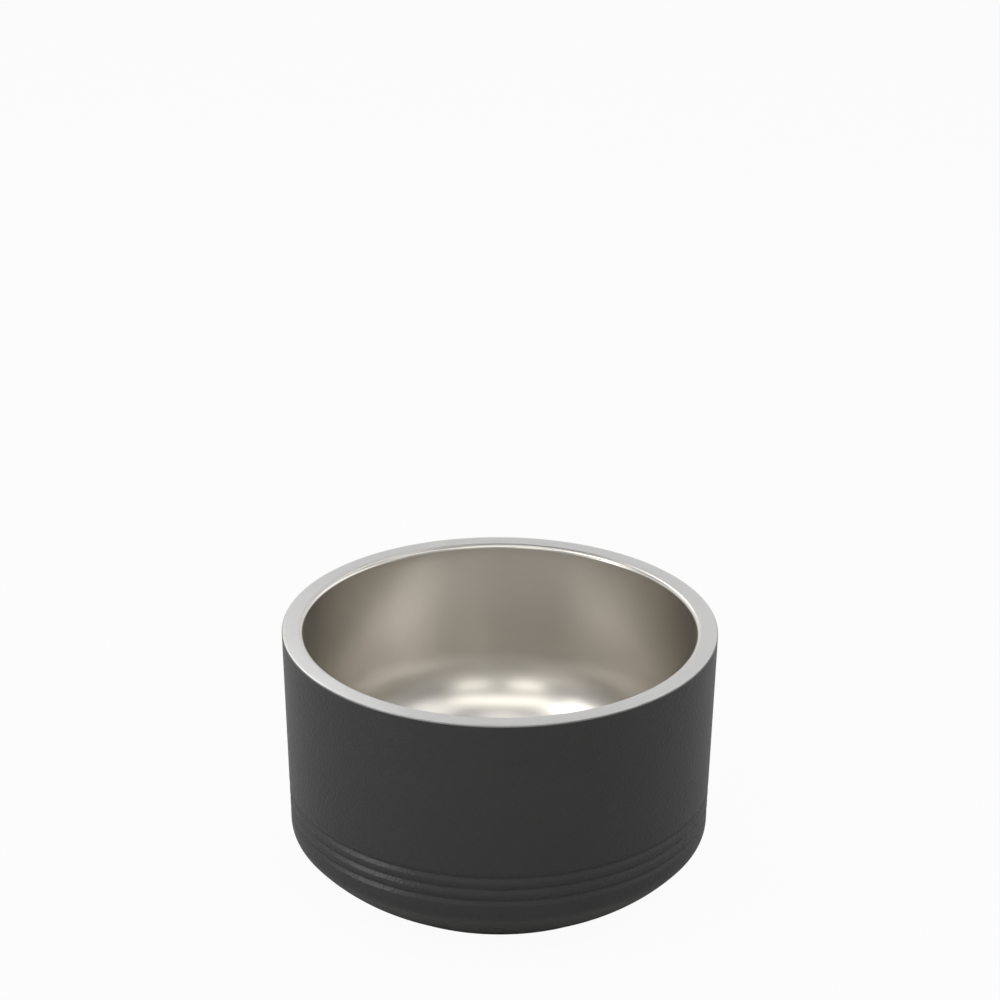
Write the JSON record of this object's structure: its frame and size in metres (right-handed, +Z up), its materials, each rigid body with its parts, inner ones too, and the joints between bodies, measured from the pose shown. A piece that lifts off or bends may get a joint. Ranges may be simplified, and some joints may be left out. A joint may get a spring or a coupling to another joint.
{
  "type": "pet bowl",
  "caption": "Round double-wall steel pet bowl: flat silver rim, satin inside, black coated outer wall with rolled grooves, rounded heel and a rubber ring to stand on.",
  "frame": {"origin": "on the bowl's axis, on the surface that it stands on", "axes": "+Z up along the bowl's axis, out of its mouth; +X and +Y are alike, because the bowl is round"},
  "size_m": [0.165, 0.165, 0.101],
  "materials": {
    "satin_steel": "satin, turned marks round the axis",
    "black_powder_coat": "matt, fine grained powder coat",
    "base_steel": "as drawn",
    "cover_steel": "satin",
    "black_rubber": "matt",
    "bond": "matt",
    "foil": "bright",
    "seal_glass": "gloss",
    "holder_steel": "as drawn",
    "getter": "matt, sintered"
  },
  "bodies": {
    "root": {"inner_bowl": "satin_steel", "outer_shell": "black_powder_coat", "base_pan": "base_steel", "base_cover": "cover_steel", "non_slip_ring": "black_rubber", "ring_adhesive": "bond", "radiation_foil": "foil", "vacuum_seal": "seal_glass", "getter_holder": "holder_steel", "getter_pellet": "getter"}
  },
  "joints": []
}
